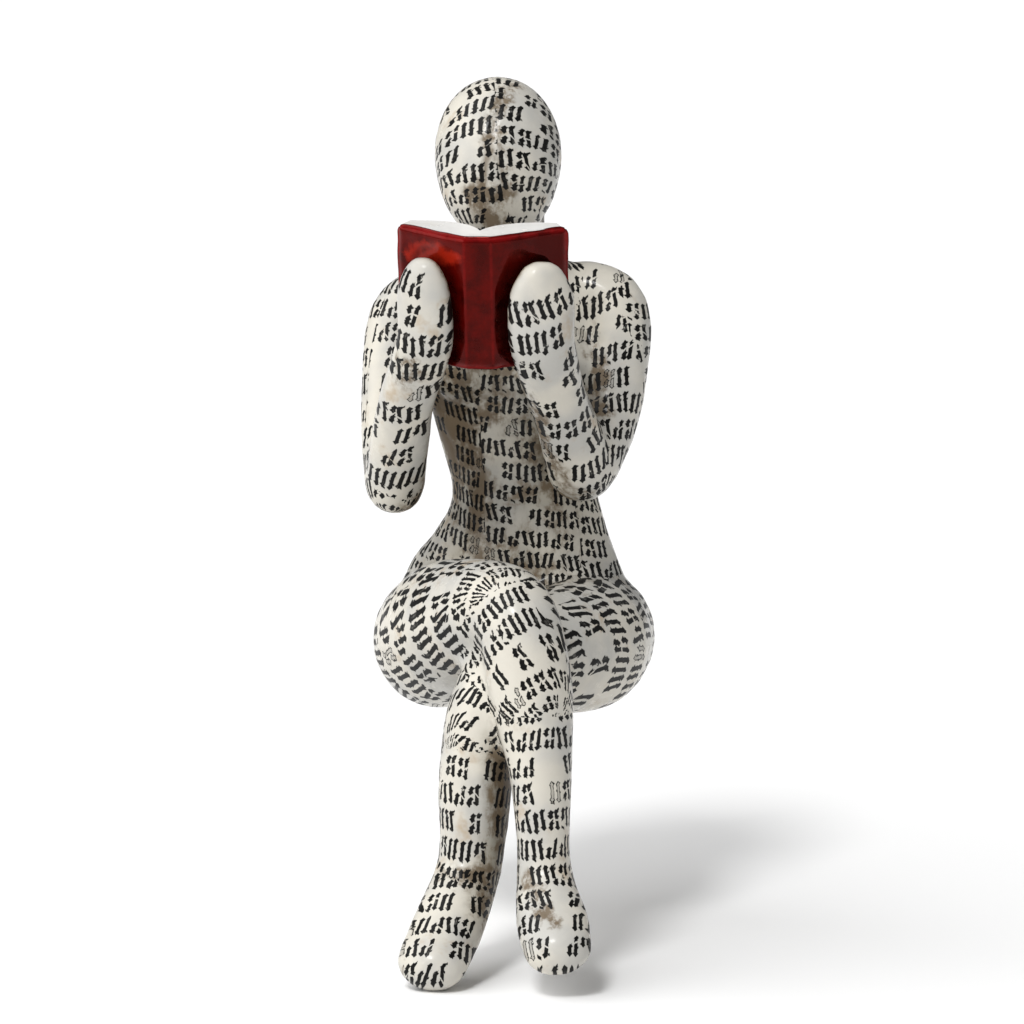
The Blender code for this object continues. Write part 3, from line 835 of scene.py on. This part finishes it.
def book_axes(book):
    """The book's sideways, upward and readerward directions."""
    sideways = Vector((math.cos(book.roll), 0, -math.sin(book.roll)))
    readerward = Vector((0, math.cos(book.lean), math.sin(book.lean)))
    upward = sideways.cross(readerward).normalized()
    return sideways, upward, upward.cross(sideways)


def on_book(book, side, height, depth):
    """A point by its distances from the middle of the spine's outer face."""
    sideways, upward, readerward = book_axes(book)
    return BOOK_MIDDLE + sideways * side + upward * height + readerward * depth


def bent_board(book, across, inwards):
    """Bends a flat board into the covers and spine.

    Takes distances along the board from the middle of the spine, and from its outer face. Returns distances
    sideways and towards the reader.
    """
    spine, bend, warp = book.spine_width / 2, 0.4 * MM, 0.08
    along = np.linspace(0, spine + book.cover_width, 800)
    share = np.clip((along - spine + bend) / (2 * bend), 0, 1)
    wave = warp * np.cos(2 * math.pi * (along - spine) / book.cover_width)
    turn = share**2 * (3 - 2 * share) * (book.opening_angle - wave)
    side, depth = (np.cumsum(line) * along[1] for line in (np.cos(turn), np.sin(turn)))
    turn, side, depth = (
        np.interp(np.abs(across), along, line) for line in (turn, side - side[0], depth - depth[0]))
    return np.sign(across) * (side - inwards * np.sin(turn)), depth + inwards * np.cos(turn)


def cover_board(book, corner=1.6 * MM):
    """The covers and spine as one bent board with rounded edges and corners, closed all round."""
    mesh = gridded_block(150, 96, 8)
    half = np.array((book.spine_width / 2 + book.cover_width, book.height / 2, book.board_thickness / 2))
    block = (points_of(mesh) * (1, 1, 2) - (0, 0, 1)) * half
    # A half-round edge, then round corners
    core = np.clip(block, -(half - half[2]), half - half[2])
    out = block - core
    block = core + out * half[2] / np.linalg.norm(out, axis=1, keepdims=True)
    plan = block[:, :2]
    core = np.clip(plan, corner - half[:2], half[:2] - corner)
    out = plan - core
    size = np.maximum(np.linalg.norm(out, axis=1, keepdims=True), 1e-9)
    plan = core + out * np.abs(out).max(axis=1, keepdims=True) / size
    side, depth = bent_board(book, plan[:, 0], block[:, 2] + half[2])
    placed = [on_book(book, *place) for place in zip(side, plan[:, 1], depth)]
    mesh.vertices.foreach_set("co", np.array(placed).ravel())
    mesh.update()
    outside = np.clip(0.5 - block[:, 2] / half[2], 0, 1)
    to_rim = (half[:2] - np.abs(plan)).min(axis=1)
    store(mesh, "outside", outside)
    store(mesh, "rim", peak(to_rim, 0.4 * MM, 0.55 * MM) * outside)
    store(mesh, "fold", peak(np.abs(plan[:, 0]), book.spine_width / 2, 0.25 * MM) * outside)
    return mesh


def pooled_enamel_tree():
    """Raises the enamel where it has pooled against the hands and along the rim, and ripples it a little."""
    numbers = ("Lip height", "Rim height", "Ripple size", "Ripple depth")
    tree, given, out = new_shape_tree("pooled_enamel", numbers)
    wanted = given.outputs
    place = add_node(tree, "GeometryNodeInputPosition").outputs[0]
    ripple = shape_noise(tree, place, wanted["Seed"], divided(1.0, wanted["Ripple size"]))
    move = times_plus(stored(tree, "rim"), wanted["Rim height"], times(ripple, wanted["Ripple depth"]))
    move = times(move, stored(tree, "open_air"))
    move = times_plus(stored(tree, "lip"), wanted["Lip height"], move)
    close_shape_tree(tree, push_out(tree, wanted["Geometry"], move), wanted["Finish"], out)
    return tree


def red_enamel_material(book):
    """Deep red enamel, darker where it lies thick, under a hard gloss; with painted shade over the left hand, a
    painted reflection over the right hand and painted highlights along the rims and folds.
    """
    material, tree, shader = new_material("red_enamel_gloss")
    place = add_node(tree, "ShaderNodeTexCoord").outputs["Object"]
    cloud = noise(tree, place, 90.0, 5.0, 0.62)
    fine = noise(tree, place, 420.0, 3.0, 0.6)
    lip, rim, fold = (attribute(tree, name) for name in ("lip", "rim", "fold"))
    red, dark = tuple(book.red), tuple(book.dark_red)
    side, _, height = add_node(tree, "ShaderNodeSeparateXYZ", {"Vector": place}).outputs
    # Painted shade: higher up, the cover over the left hand is pushed towards the dark red
    painted_shade_over_left_hand = times(ramp(tree, side, 0.0, 7 * MM), ramp(tree, height, 68 * MM, 80 * MM))
    cover = minus(cloud, times(painted_shade_over_left_hand, 0.12))
    colour = blend_colour(tree, ramp(tree, cover, 0.38, 0.56), dark, red)

    # A painted reflection: a bright orange-red cloud over the right hand
    beside = times(size_of(plus(side, 11.8 * MM)), 0.45)
    above = size_of(minus(height, 81.2 * MM))
    away = plus(plus(beside, above), times_plus(cloud, -16 * MM, 8 * MM))
    near = ramp(tree, away, 1.2 * MM, 3.2 * MM, 0.9, 0.0)
    colour = blend_colour(tree, near, colour, tinted(red, 4.5, 14.0, 9.0))
    # Lighter enamel along the rims and folds: thin enamel there, together with a painted highlight
    thin_enamel_and_highlight = times(larger(times(rim, 0.8), times(fold, 0.4)), ramp(tree, fine, 0.35, 0.6, 0.4, 1.0))
    colour = blend_colour(tree, thin_enamel_and_highlight, colour, tinted(red, 3.2, 5.0, 12.0))
    thick = times(lip, ramp(tree, fine, 0.3, 0.6, 0.3, 0.85))
    colour = blend_colour(tree, thick, colour, dark)
    dress(shader, cloud, 0.15, 0.2 * MM, {
        "Base Color": colour, "Roughness": ramp(tree, fine, 0.35, 0.7, 0.06, 0.16), "Specular IOR Level": 0.5,
        "Specular Tint": (1.0, 0.06, 0.04, 1.0), "Coat Weight": 0.11, "Coat Roughness": 0.05})
    return material


class READINGWOMAN_OT_cover(bpy.types.Operator):
    """Makes the book's red covers and spine, with enamel pooled against the hands"""

    bl_idname = "reading_woman.cover"
    bl_label = "Book cover"

    def execute(self, context):
        book = context.scene.reading_woman_book
        cover = new_object("cover_board", cover_board(book))
        mesh = cover.data
        to_hand = distance_to(bpy.data.objects["reading_figure"].data, mesh) / MM
        across = points_of(mesh)[:, 0] / MM
        # A lip against both hands, a ridge round the right hand, and a pool beside the left hand
        pooled = peak(to_hand, 0.5, 0.7)
        pooled += peak(to_hand, 2.0, 0.5) * np.clip(-(across + 8) / 3, 0, 1)
        pooled += 0.8 * peak(to_hand, 1.6, 0.9) * peak(across, 2.5, 2.5)
        outside = read_out(mesh.attributes["outside"].data, "value")
        store(mesh, "lip", spread_out(mesh, pooled * outside, 4))
        store(mesh, "open_air", spread_out(mesh, np.clip(to_hand - 1, 0, 1), 2))
        give_nodes(cover, pooled_enamel_tree(), {
            "Lip height": 0.34 * MM, "Rim height": 0.32 * MM, "Ripple size": 5 * MM, "Ripple depth": 0.55 * MM,
            "Seed": 2, "Finish": red_enamel_material(book)})
        covers = made_plain(cover, "book_cover")
        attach(covers, "root")
        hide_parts("book")
        return {"FINISHED"}


def page_block_tree():
    """Shapes a plain gridded block into the two halves of the pages, which swell from the gutter."""
    numbers = (
        "Spine half", "Reach", "Board", "Fore edge", "Swell", "Gutter", "Angle", "Half height", "Ripple depth")
    tree, given, out = new_shape_tree("page_block", numbers)
    wanted = given.outputs
    place = add_node(tree, "GeometryNodeInputPosition").outputs[0]
    side, height, layer = add_node(tree, "ShaderNodeSeparateXYZ", {"Vector": place}).outputs
    share = size_of(side)
    rest = minus(1.0, share)
    sine, cosine = reckon("SINE", wanted["Angle"]), reckon("COSINE", wanted["Angle"])
    half_spine, reach, board = wanted["Spine half"], wanted["Reach"], wanted["Board"]

    def on_cover(along, inwards):
        x = minus(plus(half_spine, times(along, cosine)), times(inwards, sine))
        return x, plus(times(along, sine), times(inwards, cosine))

    # The open side is a curve from the gutter to the fore edge, drawn towards a point above the swell
    fore = on_cover(reach, plus(board, wanted["Fore edge"]))
    swell = on_cover(times(reach, 0.355), times_plus(wanted["Swell"], 1.35, board))
    gutter = (0.0, plus(board, wanted["Gutter"]))
    curved = []
    for a, b, c in zip(gutter, swell, fore):
        value = times_plus(b, times(times(share, rest), 2.0), times(a, times(rest, rest)))
        curved.append(times_plus(c, times(share, share), value))

    # The other side is sunk into the covers
    buried = times(board, 0.8)
    foot_x = times(on_cover(reach, buried)[0], share)
    past_spine = larger(minus(foot_x, half_spine), 0.0)
    foot = (foot_x, plus(buried, times(past_spine, divided(sine, cosine))))
    x, depth = (plus(low, times(minus(high, low), layer)) for low, high in zip(foot, curved))
    wavy = times(shape_noise(tree, place, wanted["Seed"], 2.2), wanted["Ripple depth"])
    shaped = vector_of(tree, times(x, sign_of(side)), times_plus(wavy, layer, depth),
                       plus(times(height, wanted["Half height"]), wavy))
    moved = add_node(tree, "GeometryNodeSetPosition", {"Geometry": wanted["Geometry"], "Position": shaped})
    close_shape_tree(tree, moved.outputs[0], wanted["Finish"], out)
    return tree


def gridded_block(across, upward, layers):
    """A closed block from -1 to 1 sideways and up and from 0 to 1 in layers, gridded on all six sides."""
    mesh = bmesh.new()
    corner = {}

    def point(a, b, c):
        key = (a, b, c)
        if key not in corner:
            corner[key] = mesh.verts.new((2 * a / across - 1, 2 * b / upward - 1, c / layers))
        return corner[key]

    def panel(first, second, place):
        for i in range(first):
            for j in range(second):
                mesh.faces.new([point(*place(i + di, j + dj)) for di, dj in ((0, 0), (1, 0), (1, 1), (0, 1))])

    for fixed in (0, layers):
        panel(across, upward, lambda i, j, fixed=fixed: (i, j, fixed))
    for fixed in (0, upward):
        panel(across, layers, lambda i, j, fixed=fixed: (i, fixed, j))
    for fixed in (0, across):
        panel(upward, layers, lambda i, j, fixed=fixed: (fixed, i, j))
    bmesh.ops.recalc_face_normals(mesh, faces=mesh.faces)
    data = bpy.data.meshes.new("block_grid")
    mesh.to_mesh(data)
    mesh.free()
    return data


def white_pages_material(book):
    """Glossy white resin with faint leaves along its edges."""
    material, tree, shader = new_material("white_pages")
    place = add_node(tree, "ShaderNodeTexCoord").outputs["Object"]
    cloud = noise(tree, place, 160.0, 3.0, 0.6)
    leaves = add_node(tree, "ShaderNodeMapping", {"Vector": place, "Scale": (0.1, 1.0, 0.1)})
    lines = noise(tree, leaves.outputs[0], 3000.0, 2.0)
    white = tuple(book.white)
    cream = tinted(white, 0.9, 0.86, 0.78)
    colour = blend_colour(tree, ramp(tree, cloud, 0.5, 0.72, 0.0, 0.6), white, cream)
    dress(shader, plus(times(lines, 0.4), cloud), 0.25, 0.06 * MM, {
        "Base Color": colour, "Roughness": ramp(tree, cloud, 0.3, 0.7, 0.16, 0.32), "Coat Weight": 0.4,
        "Coat Roughness": 0.1})
    return material


class READINGWOMAN_OT_pages(bpy.types.Operator):
    """Makes the block of white pages between the covers"""

    bl_idname = "reading_woman.pages"
    bl_label = "Book pages"

    def execute(self, context):
        book = context.scene.reading_woman_book
        block = new_object("page_block", gridded_block(48, 20, 6))
        give_nodes(block, page_block_tree(), {
            "Spine half": book.spine_width / 2, "Reach": book.cover_width - 1.2 * MM,
            "Board": book.board_thickness, "Fore edge": book.fore_edge_thickness,
            "Swell": book.pages_thickness, "Gutter": book.gutter_depth, "Angle": book.opening_angle,
            "Half height": book.height / 2 - 0.1 * MM, "Ripple depth": 0.25 * MM, "Seed": 3,
            "Finish": white_pages_material(book)})
        pages = made_plain(block, "book_pages")
        placed = [on_book(book, point[0], point[2], point[1]) for point in points_of(pages.data)]
        pages.data.vertices.foreach_set("co", np.array(placed).ravel())
        joined = bmesh.new()
        joined.from_mesh(pages.data)
        bmesh.ops.recalc_face_normals(joined, faces=joined.faces)
        joined.to_mesh(pages.data)
        joined.free()
        pages.data.update()
        pages.data.set_sharp_from_angle(angle=math.radians(50))
        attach(pages, "root")
        return {"FINISHED"}


# ---------------------------------------------------------------- the stage

def aim(item, target):
    """Turns a lamp or camera towards a point."""
    item.rotation_euler = (target - item.location).to_track_quat("-Z", "Y").to_euler()


class READINGWOMAN_OT_stage(bpy.types.Operator):
    """Makes the floor, the soft light and the camera"""

    bl_idname = "reading_woman.stage"
    bl_label = "Stage"

    def execute(self, context):
        stage = context.scene.reading_woman_stage
        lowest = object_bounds()[0].z
        mesh = bpy.data.meshes.new("floor")
        reach = 12.0
        mesh.from_pydata([(-reach, -reach, lowest), (reach, -reach, lowest), (reach, reach, lowest),
                          (-reach, reach, lowest)], [], [(0, 1, 2, 3)])
        floor = new_object("floor", mesh)
        material, _, shader = new_material("pale_floor")
        shader.inputs["Base Color"].default_value = (*stage.floor_colour, 1.0)
        shader.inputs["Roughness"].default_value = 0.9
        mesh.materials.append(material)
        floor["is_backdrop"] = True

        world = bpy.data.worlds.new("studio")
        world.use_nodes = True
        sky = world.node_tree.nodes["Background"]
        sky.inputs["Color"].default_value = (1.0, 1.0, 1.0, 1.0)
        sky.inputs["Strength"].default_value = stage.sky_strength
        context.scene.world = world

        for name, strength, softness, way in (
                ("soft_sun", stage.key_strength, stage.key_softness, (-0.85, -0.5, 0.95)),
                ("glint_sun", stage.glint_strength, stage.glint_softness, (-0.3, -0.9, 1.3))):
            lamp = bpy.data.lights.new(name, "SUN")
            lamp.energy = strength
            lamp.angle = softness
            sun = new_object(name, lamp)
            sun.location = SCENE_MIDDLE + Vector(way)
            aim(sun, SCENE_MIDDLE)

        lens = bpy.data.cameras.new("camera")
        lens.lens = stage.camera_lens
        lens.sensor_width = 36.0
        lens.clip_start = 0.01
        lens.clip_end = 60.0
        camera = new_object("camera", lens)
        side, rise = stage.camera_azimuth, stage.camera_elevation
        back = Vector((math.sin(side) * math.cos(rise), -math.cos(side) * math.cos(rise), math.sin(rise)))
        camera.location = SCENE_MIDDLE + back * stage.camera_distance
        aim(camera, SCENE_MIDDLE)
        context.scene.camera = camera
        context.scene.view_settings.view_transform = "Standard"
        return {"FINISHED"}


class READINGWOMAN_PT_panel(bpy.types.Panel):
    """Lists the pieces, with their sizes and colours"""

    bl_label = "Reading woman"
    bl_idname = "READINGWOMAN_PT_panel"
    bl_space_type = "VIEW_3D"
    bl_region_type = "UI"
    bl_category = "Reading woman"

    def draw(self, context):
        scene = context.scene
        for settings, operators in (
                (scene.reading_woman_figure, ("reading_woman.figure",)),
                (scene.reading_woman_book, ("reading_woman.cover", "reading_woman.pages")),
                (scene.reading_woman_stage, ("reading_woman.stage",))):
            box = self.layout.box()
            for operator in operators:
                box.operator(operator)
            for name in settings.__annotations__:
                box.prop(settings, name)


SETTINGS = {
    "reading_woman_figure": FigureSettings,
    "reading_woman_book": BookSettings,
    "reading_woman_stage": StageSettings,
}
CLASSES = (*SETTINGS.values(), READINGWOMAN_OT_figure, READINGWOMAN_OT_cover, READINGWOMAN_OT_pages,
           READINGWOMAN_OT_stage, READINGWOMAN_PT_panel)


def register():
    for item in CLASSES:
        bpy.utils.register_class(item)
    for name, group in SETTINGS.items():
        setattr(bpy.types.Scene, name, bpy.props.PointerProperty(type=group))


def unregister():
    for name in SETTINGS:
        delattr(bpy.types.Scene, name)
    for item in reversed(CLASSES):
        bpy.utils.unregister_class(item)


def main():
    register()
    bpy.ops.reading_woman.figure()
    bpy.ops.reading_woman.cover()
    bpy.ops.reading_woman.pages()
    bpy.ops.reading_woman.stage()


if __name__ == "__main__":
    main()
